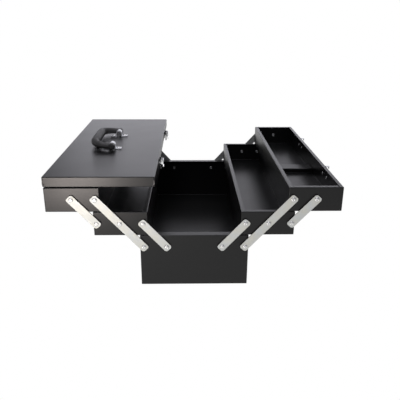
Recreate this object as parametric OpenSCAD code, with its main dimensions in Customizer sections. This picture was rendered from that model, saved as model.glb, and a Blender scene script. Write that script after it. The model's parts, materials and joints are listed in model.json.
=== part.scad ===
// Cantilever tool box: a folded sheet case, two trays a side on swinging arms, and a lid
// hinged on the left upper tray. The box is drawn standing open, as it rests on its rims.
// +X is to the right, +Y to the back, +Z up. The origin is the middle of the case's underside.

/* [Case] */
// Outside width of the case, across the trays
case_w = 200; // [180:1:230]
// Outside length of the case, trays and lid line, front to back
case_l = 495; // [420:1:560]
// Outside height of the case
case_h = 102; // [80:1:140]
// Width of the case's inward lip along each side
case_side_lip = 7.5; // [5:0.5:10]
// Width of the case's inward lip at each end
case_end_lip = 15; // [10:0.5:20]

/* [Trays] */
// Outside height of a tray
tray_h = 46; // [40:1:60]
// Gap between a tray's floor and the rim that it stands on
seat_gap = 0.35; // [0.3:0.05:0.8]
// Gap between the left and the right tray when the box is closed
tray_gap = 1; // [0.8:0.1:2]
// How far a closed tray stands in from the case's side
tray_inset = 1.5; // [1:0.1:3]
// Width of a tray's inward lip along each side
tray_side_lip = 7.2; // [5:0.1:10]
// Width of a tray's inward lip at each end
tray_end_lip = 9; // [7:0.5:12]

/* [Sheet] */
// Thickness of the folded sheet
sheet_t = 1; // [0.8:0.1:1.2]
// Outside radius of a fold
fold_r = 1.8; // [1.6:0.1:2.4]
// Slot that parts an end lip from a side lip
lip_notch = 2; // [1:0.5:3]
// Radius of the bend relief hole in each floor corner
relief_r = 1.1; // [0.8:0.1:1.5]

/* [Tray dividers] */
// Length of the divider channel along the tray
divider_l = 35; // [25:1:60]
// Height of the divider channel
divider_h = 10; // [7:1:16]
// Width of the divider's foot flanges
divider_foot = 5; // [3:0.5:8]
// Place of the divider along the tray, from the middle
divider_y = -3.5; // [-60:0.5:60]
// Gap between the divider and the folds along the tray's floor
divider_gap = 0.1; // [0.1:0.1:0.6]

/* [Arms] */
// Width of an arm
arm_w = 15; // [12:0.5:18]
// Thickness of an arm
arm_t = 2; // [1.5:0.1:3]
// Distance from an arm's end pivot to its flat end
arm_end = 6.9; // [6:0.1:8]
// Radius of the corners of an arm's ends
arm_corner_r = 4.6; // [3:0.1:5.5]
// Depth of the pivots below each rim
pivot_drop = 22.2; // [18:0.2:26]
// Distance of the long arms' lower pivots from the case's side
pivot_inset = 7; // [6:0.1:10]
// Gap between the left and right inner arms when the box is closed
inner_arm_gap = 1.3; // [1:0.1:6]
// Gap between the left and right long arms when the box is closed
long_arm_gap = 1; // [0.8:0.1:3]
// Play on each face of an arm
arm_play = 0.1; // [0.05:0.05:0.3]

/* [Arm rivets] */
// Radius of a pivot rivet's shank
rivet_r = 2.5; // [2:0.1:3]
// Radius of a pivot rivet's domed head
rivet_head_r = 4.5; // [4:0.1:5.5]
// Height of a pivot rivet's domed head
rivet_head_h = 1.9; // [1.4:0.1:2.4]
// Radius of a pivot rivet's formed tail
rivet_tail_r = 4; // [3.5:0.1:4.5]
// Height of a pivot rivet's formed tail
rivet_tail_h = 1.4; // [1:0.1:2]
// Radius of the washer between arm and wall
washer_r = 5.5; // [5:0.1:6.5]
// Thickness of the washer between arm and wall
washer_t = 1.2; // [1:0.1:2]
// Running clearance of a pin or shank in its hole
fit = 0.05; // [0.03:0.01:0.08]

/* [Lid] */
// Height of the lid's flange
lid_h = 18.7; // [16:0.1:24]
// Gap between the tray rims and the lid's flange
lid_gap = 1.8; // [1.6:0.1:3]
// How far the lid reaches past the closed trays on each side
lid_side_over = 0.5; // [0.3:0.1:1]
// How far the lid reaches past the case at each end
lid_end_over = 0.75; // [0.3:0.05:1]
// Height of the folded hem inside the flange
hem_h = 6; // [4:0.5:8]
// Outside radius of the flange's lower edge
hem_r = 0.9; // [0.5:0.1:1]
// Radius of the lower corners of the end flanges
lid_corner_r = 2.4; // [1.2:0.1:3]

/* [Lid hinges] */
// Place of each hinge from the middle
hinge_y = 150; // [110:1:180]
// Length of a hinge
hinge_l = 60; // [45:1:75]
// Height of a hinge leaf, from the pin's axis
leaf_h = 15; // [13:0.5:16]
// Thickness of a hinge leaf
leaf_t = 1; // [0.8:0.1:1.2]
// Outside radius of a knuckle
knuckle_r = 2.2; // [2:0.1:2.6]
// Radius of a hinge pin
hinge_pin_r = 1.1; // [0.9:0.1:1.2]
// Gap between two knuckles
knuckle_gap = 0.3; // [0.2:0.1:0.5]
// Distance of a leaf's rivets from the hinge's middle
leaf_rivet_y = 22; // [15:1:22]
// Distance of a leaf's rivets from the pin's axis
leaf_rivet_z = 10.2; // [9.4:0.1:10.4]

/* [Handle] */
// Distance from the handle's axis to the middle of its grip
handle_reach = 38; // [35:0.5:42]
// Shift of the handle from the lid's middle, towards the hinges
handle_shift = 1.7; // [0:0.1:4]
// Height of the handle's axis above the lid
axis_h = 8.1; // [7.8:0.1:9.6]
// Angle by which the handle stands off level in the rest pose
handle_lift = 6; // [4:0.5:12]
// Radius of the grip at its middle
grip_r = 9.3; // [8.5:0.1:11]
// Radius of the handle's arms where they leave their bosses
handle_arm_r = 6; // [5.6:0.1:6.8]
// Radius of the steel core rod
core_r = 4.5; // [4:0.1:4.8]
// Radius of the bosses at the handle's ends
boss_r = 6.9; // [6.6:0.1:8]
// Thickness of a boss
boss_t = 12.5; // [10:0.5:14]
// Radius of the handle's corners, on its middle line
handle_bend_r = 30; // [20:0.5:31]
// Gap between a boss and its saddle bracket
boss_gap = 0.5; // [0.3:0.1:1]
// Length of core rod that shows past a saddle bracket
core_end = 1.8; // [1:0.1:3]
// Distance of each saddle bracket's middle from the handle's middle
saddle_y = 55.6; // [50:0.2:60]
// Width of a saddle bracket along the handle's axis
saddle_w = 14; // [12:0.5:15]
// Thickness of a saddle bracket
saddle_t = 1.8; // [1.2:0.1:2]
// Length of a saddle bracket's foot, past its leg
foot_l = 12.1; // [11:0.1:14]

/* [Latches] */
// Place of each latch from the middle
latch_y = 118; // [90:1:160]
// Width of a latch's base plate
latch_plate_w = 26; // [25:0.5:32]
// Height of a latch's base plate
latch_plate_h = 15; // [12:0.5:16]
// Thickness of the latch's pressed parts
latch_t = 1; // [0.8:0.1:1.2]
// Width of a latch's lever
lever_w = 13.8; // [12.5:0.1:14.5]
// Length of a lever below its pivot
lever_l = 13.5; // [12.5:0.5:16]
// Height of a lever above its pivot
lever_top = 1.4; // [1.2:0.1:2]
// Distance from the lever's pivot out to the back of its face
lever_out = 2.3; // [2.2:0.1:3]
// Length of the lever's cheeks below the pivot, where they meet the face
cheek_l = 10; // [9:0.1:11]
// Width of the metal round a hole in a cheek
cheek_wall = 1.2; // [1:0.1:1.4]
// Radius of the curl at the lever's lower edge
curl_r = 0.8; // [0.5:0.1:1]
// Radius of a latch's pivot pin
latch_pin_r = 1.25; // [1:0.05:1.3]
// Distance of the lever's pivot from the lid's flange
pivot_out = 5.6; // [5.4:0.1:7]
// Height of the lever's pivot above the flange's middle
pivot_up = 3.5; // [3:0.1:4]
// Radius of a latch pin's flat head
latch_pin_head_r = 2; // [1.7:0.1:2.4]
// Thickness of a latch pin's flat head
latch_pin_head_t = 0.8; // [0.5:0.1:1.2]
// Radius of the round end of an ear
ear_r = 2.7; // [2.6:0.1:3.2]
// Side play between a latch's moving parts
latch_play = 0.3; // [0.2:0.1:0.5]
// Radius of the latch loop's wire
wire_r = 1.1; // [0.9:0.05:1.2]
// Length of the latch loop
loop_l = 13.4; // [13:0.1:15]
// Distance of the loop's pivot behind the lever's pivot
loop_in = 2; // [1.8:0.1:2.1]
// Distance of the loop's pivot below the lever's pivot
loop_down = 4.3; // [4.3:0.1:5]

/* [Strikes] */
// Width of a strike plate
strike_w = 38; // [36:1:44]
// Height of a strike plate
strike_h = 13; // [11:0.5:15]
// Thickness of a strike plate
strike_t = 1.2; // [1:0.1:1.5]
// Distance of a strike's rivets from its middle
strike_rivet_y = 15; // [12:0.5:15]
// Width of a strike's hook
hook_w = 6; // [4:0.5:6]
// Height of the hook's lip
lip_h = 5; // [3.5:0.1:6]
// Play of the loop's bar in the hook
hook_play = 0.6; // [0.5:0.1:0.7]
// Height of the hook above the strike plate
strike_drop = 13.1; // [9:0.1:14]

/* [Small rivets] */
// Shank radius of the rivets in hinges and latches
small_rivet_r = 1.25; // [1:0.05:1.4]
// Head radius of the rivets in hinges and latches
small_head_r = 2.3; // [2:0.1:2.4]
// Head height of the rivets in hinges and latches
small_head_h = 0.9; // [0.6:0.1:1.2]
// Shank radius of the rivets in saddles and strikes
plate_rivet_r = 1.9; // [1.5:0.1:2]
// Head radius of the rivets in saddles and strikes
plate_head_r = 3.6; // [3:0.1:3.8]
// Head height of the rivets in saddles and strikes
plate_head_h = 2; // [1.5:0.1:2.5]

/* [Hidden] */
$fn = 48;

// Overrun of a cut past the surface that it opens
cut = 1;
// How far out a plain outline's corner lies in the round end that it joins
within_share = 0.98;

// Trays: closed places, and the shift of each tray from closed to open
half_gap = tray_gap / 2;
tray_w = case_w / 2 - tray_inset - half_gap;
level_step = tray_h + seat_gap;
lower_z = case_h + seat_gap;
upper_z = lower_z + level_step;
rim_z = upper_z + tray_h;

// Arms: pivots lie on lines that stay parallel, so every tray stays level.
// The run is how far an open arm leans sideways over one tray level.
arm_end_y = arm_end - arm_corner_r;
arm_corner_x = arm_w / 2 - arm_corner_r;
arm_reach = norm([arm_corner_x, arm_end_y]) + arm_corner_r;
long_pivot_x = case_w / 2 - pivot_inset;
long_edge = arm_reach + long_arm_gap / 2 - half_gap;
inner_edge = arm_reach + inner_arm_gap / 2 - half_gap;
arm_run = (long_pivot_x - half_gap - long_edge) / 2;
arm_pitch = long_pivot_x - arm_run - half_gap - inner_edge;
arm_step_l = sqrt(arm_run * arm_run + level_step * level_step);
arm_lean = atan2(arm_run, level_step);
inner_pivot_x = long_pivot_x - arm_pitch;
lower_x = half_gap + 2 * arm_run;
upper_x = half_gap + 4 * arm_run;
pivot_z0 = case_h - pivot_drop;
pivot_z1 = pivot_z0 + level_step;
pivot_z2 = pivot_z1 + level_step;
case_pivots = [inner_pivot_x, long_pivot_x];
lower_pivots = [inner_pivot_x + arm_run, long_pivot_x + arm_run, long_pivot_x + arm_pitch + arm_run];
upper_pivots = [long_pivot_x + 2 * arm_run, long_pivot_x + arm_pitch + 2 * arm_run];
arm_back = case_l / 2 + washer_t + arm_play;
head_seat = arm_back + arm_t + arm_play;

// Lid: it covers both closed trays, and is carried outwards by the left upper tray
lid_w = 2 * (half_gap + tray_w + lid_side_over);
lid_l = case_l + 2 * lid_end_over;
lid_x = -4 * arm_run;
lid_z = rim_z + lid_gap;
lid_top = lid_z + lid_h;
lid_left = lid_x - lid_w / 2;
lid_right = lid_x + lid_w / 2;
tray_left = -upper_x - tray_w;

// Hinges: the pins stand clear of the lid's left flange, level with the gap under it
hinge_x = lid_left - knuckle_r - 2 * fit;
hinge_z = rim_z + lid_gap / 2;
knuckle_l = hinge_l / 4;

// Handle: it folds to the left and lies on the lid
handle_x = lid_x - handle_shift;
handle_z = lid_top + axis_h;
saddle_r = core_r + 2 * fit + saddle_t;
foot_rivet_x = saddle_r + foot_l / 2;
boss_in = saddle_y + saddle_w / 2 + boss_gap;
boss_y = boss_in + boss_t / 2;
core_in = saddle_y - saddle_w / 2 - core_end;
bend_x = handle_reach - handle_bend_r;
bend_y = boss_y - handle_bend_r;

// Share of the handle's half length over which it swells to the grip's full radius
swell_share = 0.75;
grip_steps = 6;
bend_steps = 9;
grip_sides = 24;
bend_l = handle_bend_r * PI / 2;
half_l = bend_x + bend_l + bend_y;

// Radius of the handle at a length along its middle line from the boss
function grip_radius(l) =
    let (t = min(1, l / half_l / swell_share))
    handle_arm_r + (grip_r - handle_arm_r) * t * t * (3 - 2 * t);

// Half of the handle's middle line, each point with its radius: arm, corner and grip bar
arm_ring = [for (i = [0 : grip_steps / 2 - 1])
    let (l = bend_x * 2 * i / grip_steps)
    [-l, boss_y, grip_radius(l)]];
bend_ring = [for (i = [0 : bend_steps])
    let (a = 90 * i / bend_steps)
    [-bend_x - handle_bend_r * sin(a), bend_y + handle_bend_r * cos(a),
        grip_radius(bend_x + bend_l * a / 90)]];
bar_ring = [for (i = [1 : grip_steps])
    let (l = bend_y * i / grip_steps)
    [-handle_reach, bend_y - l, grip_radius(bend_x + bend_l + l)]];
half_ring = concat(arm_ring, bend_ring, bar_ring);
full_ring = concat(half_ring,
    [for (i = [len(half_ring) - 2 : -1 : 0]) [half_ring[i][0], -half_ring[i][1], half_ring[i][2]]]);

// Latches: lever pivot and loop pivot, from the lid's right flange and its middle height
latch_z = lid_z + lid_h / 2;
latch_rivet_y = latch_plate_w / 2 - small_head_r - 2 * fit;
ear_y = lever_w / 2 + latch_play;
loop_y = lever_w / 2 - latch_t - latch_play - wire_r;
loop_x = lid_right + pivot_out - loop_in;
loop_z = latch_z + pivot_up - loop_down;

// Strikes: the hook takes the loop's bar when box and lid are closed
bar_z = loop_z - loop_l;
bar_out = lid_side_over + pivot_out - loop_in;
hook_top = bar_z + wire_r + hook_play + strike_t;
hook_in = bar_out + wire_r + hook_play / 2;
strike_wall = upper_x + tray_w;
strike_z = hook_top - strike_h - strike_drop;

// Mirrors a right-hand sub-part to the left when side is -1
module on_side(side) {
    if (side < 0) mirror([1, 0, 0]) children();
    else children();
}

// Mirrors a front sub-part to the back when end is 1
module at_end(end) {
    if (end > 0) mirror([0, 1, 0]) children();
    else children();
}

// Rectangle standing on the X axis, with its lower and upper corners rounded
module round_profile(w, h, low_r, high_r) {
    difference() {
        translate([-w / 2, 0]) square([w, h]);
        for (s = [-1, 1]) {
            translate([s * (w / 2 - low_r), low_r]) corner_waste(s, -1, low_r);
            translate([s * (w / 2 - high_r), h - high_r]) corner_waste(s, 1, high_r);
        }
    }
}

// What a rounded corner loses: a square beyond the corner's circle
module corner_waste(sx, sy, r) {
    difference() {
        scale([sx, sy]) square([r + cut, r + cut]);
        circle(r);
    }
}

// Closed box with folded edges: rounded below, above and at its upright corners
module folded_block(w, l, h, low_r, high_r, upright_r, side_low_r) {
    intersection() {
        translate([0, l / 2, 0]) rotate([90, 0, 0])
            linear_extrude(l) round_profile(w, h, side_low_r, high_r);
        translate([-w / 2, 0, 0]) rotate([90, 0, 90])
            linear_extrude(w) round_profile(l, h, low_r, high_r);
        linear_extrude(h) translate([0, -l / 2]) round_profile(w, l, upright_r, upright_r);
    }
}

// Open sheet box: its walls fold inwards at the top into lips
module sheet_box(w, l, h, side_lip, end_lip) {
    inner_r = fold_r - sheet_t;
    open_w = w - 2 * side_lip;
    open_l = l - 2 * end_lip;
    difference() {
        folded_block(w, l, h, fold_r, fold_r, fold_r, fold_r);
        translate([0, 0, sheet_t])
            folded_block(w - 2 * sheet_t, l - 2 * sheet_t, h - 2 * sheet_t,
                inner_r, inner_r, inner_r, inner_r);
        translate([-open_w / 2, -open_l / 2, h / 2]) cube([open_w, open_l, h]);
        for (sx = [-1, 1], sy = [-1, 1]) scale([sx, sy, 1]) {
            translate([open_w / 2 - lip_notch, open_l / 2 - cut, h - sheet_t - cut])
                cube([lip_notch, end_lip - sheet_t + cut, sheet_t + 2 * cut]);
            translate([w / 2 - sheet_t - 2 * relief_r, l / 2 - sheet_t - 2 * relief_r, -cut])
                cylinder(r = relief_r, h = sheet_t + 2 * cut);
        }
    }
}

// Cylinder along Y, from y0 to y1
module rod_y(r, y0, y1) {
    translate([0, y1, 0]) rotate([90, 0, 0]) cylinder(r = r, h = y1 - y0);
}

// Holes for the pivot rivets through both end walls, at height z
module pivot_holes(xs, z) {
    for (x = xs) translate([x, 0, z]) rod_y(rivet_r + fit, -case_l / 2 - cut, case_l / 2 + cut);
}

// Half profile of a dome of radius r and height h, standing on the X axis
module dome_profile(r, h) {
    ball_r = (r * r + h * h) / (2 * h);
    intersection() {
        translate([0, h - ball_r]) circle(ball_r);
        square([r, h]);
    }
}

// Rivet along Z: head above zero, shank down through the grip, formed tail below it
module rivet(r, grip, head_r, head_h, tail_r, tail_h) {
    rotate_extrude() {
        translate([0, -grip]) square([r, grip]);
        dome_profile(head_r, head_h);
        translate([0, -grip]) mirror([0, 1]) dome_profile(tail_r, tail_h);
    }
}

module small_rivet(grip) {
    rivet(small_rivet_r, grip, small_head_r, small_head_h, small_head_r, small_head_h);
}

module plate_rivet(grip) {
    rivet(plate_rivet_r, grip, plate_head_r, plate_head_h, plate_head_r, plate_head_h / 2);
}

// Pivot rivets of one case or tray, in both end walls
module pivot_rivets(xs, z) {
    grip = head_seat - case_l / 2 + sheet_t;
    color("silver")
        for (x = xs, end = [-1, 1]) at_end(end)
            translate([x, -head_seat, z]) rotate([90, 0, 0])
                rivet(rivet_r, grip, rivet_head_r, rivet_head_h, rivet_tail_r, rivet_tail_h);
}

// Washers that hold the arms off one case or tray, at both ends
module pivot_washers(xs, z) {
    color("gray")
        for (x = xs, end = [-1, 1]) at_end(end) translate([x, 0, z]) difference() {
            rod_y(washer_r, -case_l / 2 - washer_t, -case_l / 2);
            rod_y(rivet_r + fit, -case_l / 2 - washer_t - cut, -case_l / 2 + cut);
        }
}

// Flat arm of one or two levels, leaning outwards from its lower pivot
module arm(x, z, levels) {
    length = levels * arm_step_l;
    color("gainsboro")
        translate([x, -arm_back, z]) rotate([90, 0, 0]) rotate(-arm_lean)
            linear_extrude(arm_t) difference() {
                translate([0, -arm_end])
                    round_profile(arm_w, length + 2 * arm_end, arm_corner_r, arm_corner_r);
                for (i = [0 : levels]) translate([0, i * arm_step_l]) circle(rivet_r + fit);
            }
}

// The case: a deep open box on the ground
module case_body() {
    color("dimgray") difference() {
        sheet_box(case_w, case_l, case_h, case_side_lip, case_end_lip);
        for (side = [-1, 1]) on_side(side) pivot_holes(case_pivots, pivot_z0);
    }
}

module case_rivets() {
    for (side = [-1, 1]) on_side(side) pivot_rivets(case_pivots, pivot_z0);
}

module case_washers() {
    for (side = [-1, 1]) on_side(side) pivot_washers(case_pivots, pivot_z0);
}

// One tray with its pivot holes
module tray(x, z, pivots, pivot_z) {
    color("dimgray") difference() {
        translate([x + tray_w / 2, 0, z])
            sheet_box(tray_w, case_l, tray_h, tray_side_lip, tray_end_lip);
        pivot_holes(pivots, pivot_z);
        children();
    }
}

module lower_tray() {
    tray(lower_x, lower_z, lower_pivots, pivot_z1);
}

// The right upper tray is drilled for the strikes' rivets
module upper_tray_right() {
    tray(upper_x, upper_z, upper_pivots, pivot_z2)
        strike_places() translate([-sheet_t - cut, 0, strike_h / 2]) rotate([0, 90, 0])
            cylinder(r = plate_rivet_r + fit, h = sheet_t + 2 * cut);
}

// The left upper tray is drilled for the hinges' rivets
module upper_tray_left() {
    difference() {
        on_side(-1) tray(upper_x, upper_z, upper_pivots, pivot_z2);
        leaf_rivet_places(-1) translate([tray_left + sheet_t + cut, 0, 0]) rotate([0, -90, 0])
            cylinder(r = small_rivet_r + fit, h = sheet_t + 2 * cut);
    }
}

// Hat-shaped channel across a tray's floor
module divider() {
    length = tray_w - 2 * fold_r - 2 * divider_gap;
    color("dimgray")
        translate([upper_x + fold_r + divider_gap, divider_y, upper_z + sheet_t])
            rotate([90, 0, 90]) linear_extrude(length) difference() {
                union() {
                    round_profile(divider_l, divider_h, sheet_t / 4, fold_r);
                    translate([-divider_l / 2 - divider_foot, 0])
                        square([divider_l + 2 * divider_foot, sheet_t]);
                }
                translate([0, -cut])
                    round_profile(divider_l - 2 * sheet_t, divider_h - sheet_t + cut,
                        sheet_t / 4, fold_r - sheet_t);
            }
}

// The lid: a shallow pan upside down, its lower edge hemmed inwards
module lid_pan() {
    inner_r = fold_r - sheet_t;
    hem_t = 2 * sheet_t;
    color("dimgray") difference() {
        translate([lid_x, 0, lid_z]) difference() {
            folded_block(lid_w, lid_l, lid_h, hem_r, fold_r, fold_r, lid_corner_r);
            translate([0, 0, hem_h])
                folded_block(lid_w - 2 * sheet_t, lid_l - 2 * sheet_t, lid_h - sheet_t - hem_h,
                    sheet_t / 4, inner_r, inner_r, sheet_t / 4);
            translate([0, 0, -cut]) linear_extrude(hem_h + 2 * cut)
                square([lid_w - 2 * hem_t, lid_l - 2 * hem_t], center = true);
        }
        leaf_rivet_places(1) translate([lid_left + hem_t + cut, 0, 0]) rotate([0, -90, 0])
            cylinder(r = small_rivet_r + fit, h = hem_t + 2 * cut);
        saddle_rivet_places() translate([0, 0, lid_top - sheet_t - cut])
            cylinder(r = plate_rivet_r + fit, h = sheet_t + 2 * cut);
        latch_rivet_places() translate([-hem_t - cut, 0, 0]) rotate([0, 90, 0])
            cylinder(r = small_rivet_r + fit, h = hem_t + 2 * cut);
    }
}

// Rivet places of the hinge leaves, above the pin's axis (1) or below it (-1)
module leaf_rivet_places(up) {
    for (y = [-hinge_y, hinge_y], s = [-1, 1])
        translate([0, y + s * leaf_rivet_y, hinge_z + up * leaf_rivet_z]) children();
}

// Hinge leaf with its knuckles between the given stretches along the pin
module hinge_leaf(face_x, up, stretches) {
    for (y = [-hinge_y, hinge_y]) translate([0, y, hinge_z]) difference() {
        union() {
            translate([face_x - leaf_t, -hinge_l / 2, min(0, up * leaf_h)])
                cube([leaf_t, hinge_l, leaf_h]);
            for (k = stretches) translate([hinge_x, 0, 0]) rod_y(knuckle_r, k[0], k[1]);
        }
        translate([hinge_x, 0, 0]) {
            rod_y(hinge_pin_r + fit, -hinge_l, hinge_l);
            for (k = knuckle_waste(stretches)) rod_y(knuckle_r + knuckle_gap, k[0], k[1]);
        }
        for (s = [-1, 1])
            translate([face_x + cut, s * leaf_rivet_y, up * leaf_rivet_z]) rotate([0, -90, 0])
                cylinder(r = small_rivet_r + fit, h = leaf_t + 2 * cut);
    }
}

// Stretches along the pin that a leaf leaves to the other leaf's knuckles
function knuckle_waste(stretches) = len(stretches) == 1
    ? [[-hinge_l / 2 - cut, stretches[0][0]], [stretches[0][1], hinge_l / 2 + cut]]
    : [[stretches[0][1], stretches[1][0]]];

module hinge_leaves_lid() {
    color("darkgray") hinge_leaf(lid_left, 1, [[-knuckle_l, knuckle_l]]);
}

module hinge_leaves_tray() {
    inner = knuckle_l + knuckle_gap;
    color("darkgray")
        hinge_leaf(tray_left, -1, [[-hinge_l / 2, -inner], [inner, hinge_l / 2]]);
}

module hinge_pins() {
    color("silver") for (y = [-hinge_y, hinge_y])
        translate([hinge_x, y, hinge_z]) rod_y(hinge_pin_r, -hinge_l / 2, hinge_l / 2);
}

module hinge_rivets_lid() {
    color("silver") leaf_rivet_places(1)
        translate([lid_left - leaf_t, 0, 0]) rotate([0, -90, 0]) small_rivet(leaf_t + sheet_t);
}

module hinge_rivets_tray() {
    color("silver") leaf_rivet_places(-1)
        translate([tray_left - leaf_t, 0, 0]) rotate([0, -90, 0]) small_rivet(leaf_t + sheet_t);
}

// Places of the saddles' rivets on the lid
module saddle_rivet_places() {
    for (x = [-foot_rivet_x, foot_rivet_x], y = [-saddle_y, saddle_y])
        translate([handle_x + x, y, 0]) children();
}

// Saddle brackets: a strap bent over the core rod, with a foot on each side
module handle_saddles() {
    foot_x = saddle_r + foot_l;
    bore_r = core_r + 2 * fit;
    color("silver") difference() {
        for (y = [-saddle_y, saddle_y])
            translate([handle_x, y + saddle_w / 2, handle_z]) rotate([90, 0, 0])
                linear_extrude(saddle_w) difference() {
                    union() {
                        circle(saddle_r);
                        translate([-saddle_r, -axis_h]) square([2 * saddle_r, axis_h]);
                        translate([-foot_x, -axis_h]) square([2 * foot_x, saddle_t]);
                    }
                    circle(bore_r);
                    translate([-bore_r, -axis_h - cut]) square([2 * bore_r, axis_h + cut]);
                }
        saddle_rivet_places() translate([0, 0, lid_top - cut])
            cylinder(r = plate_rivet_r + fit, h = saddle_t + 2 * cut);
    }
}

module saddle_rivets() {
    color("silver") saddle_rivet_places()
        translate([0, 0, lid_top + saddle_t]) plate_rivet(saddle_t + sheet_t);
}

// Handle frame: its axis along Y, its grip off to the left, as lifted in the rest pose
module handle_place() {
    translate([handle_x, 0, handle_z]) rotate([0, handle_lift, 0]) children();
}

// Half of the core rod: stub in the saddle, arm, corner and half of the grip bar
module core_half(r) {
    rod_y(r, core_in, boss_y);
    translate([0, boss_y, 0]) sphere(r);
    translate([-bend_x, boss_y, 0]) rotate([0, 90, 0]) cylinder(r = r, h = bend_x);
    translate([-bend_x, bend_y, 0]) rotate([0, 0, 90])
        rotate_extrude(angle = 90) translate([handle_bend_r, 0]) circle(r);
    translate([-handle_reach, 0, 0]) rod_y(r, 0, bend_y);
}

module core_rod(r) {
    for (end = [-1, 1]) at_end(end) core_half(r);
}

module handle_core() {
    color("silver") handle_place() core_rod(core_r);
}

// Direction of the middle line at point i, square to which that ring lies
function ring_way(p, i) =
    let (a = p[max(i - 1, 0)], b = p[min(i + 1, len(p) - 1)], d = [b[0] - a[0], b[1] - a[1]])
    d / norm(d);

// Tube through the points p, each ring a circle of the point's own radius
module ring_tube(p, sides) {
    points = [for (i = [0 : len(p) - 1], k = [0 : sides - 1])
        let (d = ring_way(p, i), a = 360 * k / sides, r = p[i][2])
        [p[i][0] - d[1] * r * cos(a), p[i][1] + d[0] * r * cos(a), r * sin(a)]];
    last = (len(p) - 1) * sides;
    walls = [for (i = [0 : len(p) - 2], k = [0 : sides - 1])
        let (a = i * sides + k, b = i * sides + (k + 1) % sides)
        each [[a, b + sides, b], [a, a + sides, b + sides]]];
    first_cap = [for (k = [1 : sides - 2]) [0, k, k + 1]];
    last_cap = [for (k = [1 : sides - 2]) [last, last + k + 1, last + k]];
    polyhedron(points = points, faces = concat(walls, first_cap, last_cap));
}

// Soft grip moulded over the core rod, with a round boss at each end
module handle_grip() {
    color([0.12, 0.12, 0.12]) handle_place() difference() {
        union() {
            ring_tube(full_ring, grip_sides);
            for (end = [-1, 1]) at_end(end) rod_y(boss_r, boss_in, boss_in + boss_t);
        }
        core_rod(core_r + fit);
    }
}

// Latch frame: x out from the lid's right flange, z from its middle height
module latch_places(ys = [-latch_y, latch_y]) {
    for (y = ys) translate([lid_right, y, latch_z]) children();
}

module latch_rivet_places() {
    latch_places() for (s = [-1, 1]) translate([0, s * latch_rivet_y, 0]) children();
}

// Base plate with an ear on each side of the lever
module latch_plates() {
    color("silver") difference() {
        latch_places() {
            translate([0, -latch_plate_w / 2, -latch_plate_h / 2])
                cube([latch_t, latch_plate_w, latch_plate_h]);
            for (s = [-1, 1]) scale([1, s, 1]) {
                translate([0, ear_y, pivot_up - ear_r]) cube([pivot_out, latch_t, 2 * ear_r]);
                translate([pivot_out, 0, pivot_up]) rod_y(ear_r, ear_y, ear_y + latch_t);
            }
        }
        latch_places() translate([pivot_out, 0, pivot_up])
            rod_y(latch_pin_r + fit, -latch_plate_w, latch_plate_w);
        latch_rivet_places() translate([-cut, 0, 0]) rotate([0, 90, 0])
            cylinder(r = small_rivet_r + fit, h = latch_t + 2 * cut);
    }
}

module latch_rivets() {
    color("silver") latch_rivet_places()
        translate([latch_t, 0, 0]) rotate([0, 90, 0]) small_rivet(latch_t + sheet_t);
}

// Pivot pins with a flat head outside each ear
module latch_pins() {
    shoulder = ear_y + latch_t;
    color("silver") latch_places() translate([pivot_out, 0, pivot_up]) {
        rod_y(latch_pin_r, -shoulder, shoulder);
        for (s = [-1, 1]) scale([1, s, 1])
            rod_y(latch_pin_head_r, shoulder, shoulder + latch_pin_head_t);
    }
}

// Lever: a pressed channel that hangs from the pivot pin, with a curled lower edge
module latch_lever(y) {
    face = lever_out + latch_t;
    cheek_face = face - latch_t / 2;
    eye_r = latch_pin_r + cheek_wall;
    foot_r = wire_r + cheek_wall;
    eye_side = eye_r * within_share;
    foot_side = foot_r * within_share;
    color("gainsboro") latch_places([y]) translate([pivot_out, 0, pivot_up]) difference() {
        union() {
            translate([lever_out, -lever_w / 2, -lever_l])
                cube([latch_t, lever_w, lever_l + lever_top]);
            translate([face, 0, curl_r - lever_l]) rod_y(curl_r, -lever_w / 2, lever_w / 2);
            for (s = [-1, 1]) scale([1, s, 1]) translate([0, lever_w / 2, 0]) rotate([90, 0, 0])
                linear_extrude(latch_t) {
                    circle(eye_r);
                    translate([-loop_in, -loop_down]) circle(foot_r);
                    polygon([[cheek_face, lever_top], [0, eye_side], [-eye_side, 0],
                        [-loop_in - foot_side, -loop_down], [-loop_in, -loop_down - foot_side],
                        [cheek_face, -cheek_l]]);
                }
        }
        rod_y(latch_pin_r + fit, -lever_w, lever_w);
        translate([-loop_in, 0, -loop_down]) rod_y(wire_r + fit, -lever_w, lever_w);
    }
}

// Wire loop that hangs from the lever's cheeks
module latch_loop(y) {
    tip = lever_w / 2 + fit;
    color("gainsboro") translate([loop_x, y, loop_z]) {
        for (s = [-1, 1]) scale([1, s, 1]) {
            rod_y(wire_r, loop_y, tip);
            translate([0, loop_y, 0]) sphere(wire_r);
            translate([0, loop_y, -loop_l]) cylinder(r = wire_r, h = loop_l);
            translate([0, loop_y, -loop_l]) sphere(wire_r);
        }
        translate([0, 0, -loop_l]) rod_y(wire_r, -loop_y, loop_y);
    }
}

// Strike frame: x out from the right upper tray's outer wall
module strike_places() {
    for (y = [-latch_y, latch_y], s = [-1, 1])
        translate([strike_wall, y + s * strike_rivet_y, strike_z]) children();
}

// Strikes: a riveted plate whose middle tab turns over into a hook
module strike_plates() {
    tab_h = hook_top - strike_z;
    lip_x = hook_in + strike_t;
    lip_z = tab_h - lip_h;
    color("silver") difference() {
        for (y = [-latch_y, latch_y]) translate([strike_wall, y, strike_z]) {
            translate([0, -strike_w / 2, 0]) cube([strike_t, strike_w, strike_h]);
            translate([0, hook_w / 2, 0]) rotate([90, 0, 0]) linear_extrude(hook_w)
                polygon([[0, 0], [0, tab_h], [lip_x, tab_h], [lip_x, lip_z], [hook_in, lip_z],
                    [hook_in, tab_h - strike_t], [strike_t, tab_h - strike_t], [strike_t, 0]]);
        }
        strike_places() translate([-cut, 0, strike_h / 2]) rotate([0, 90, 0])
            cylinder(r = plate_rivet_r + fit, h = strike_t + 2 * cut);
    }
}

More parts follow.
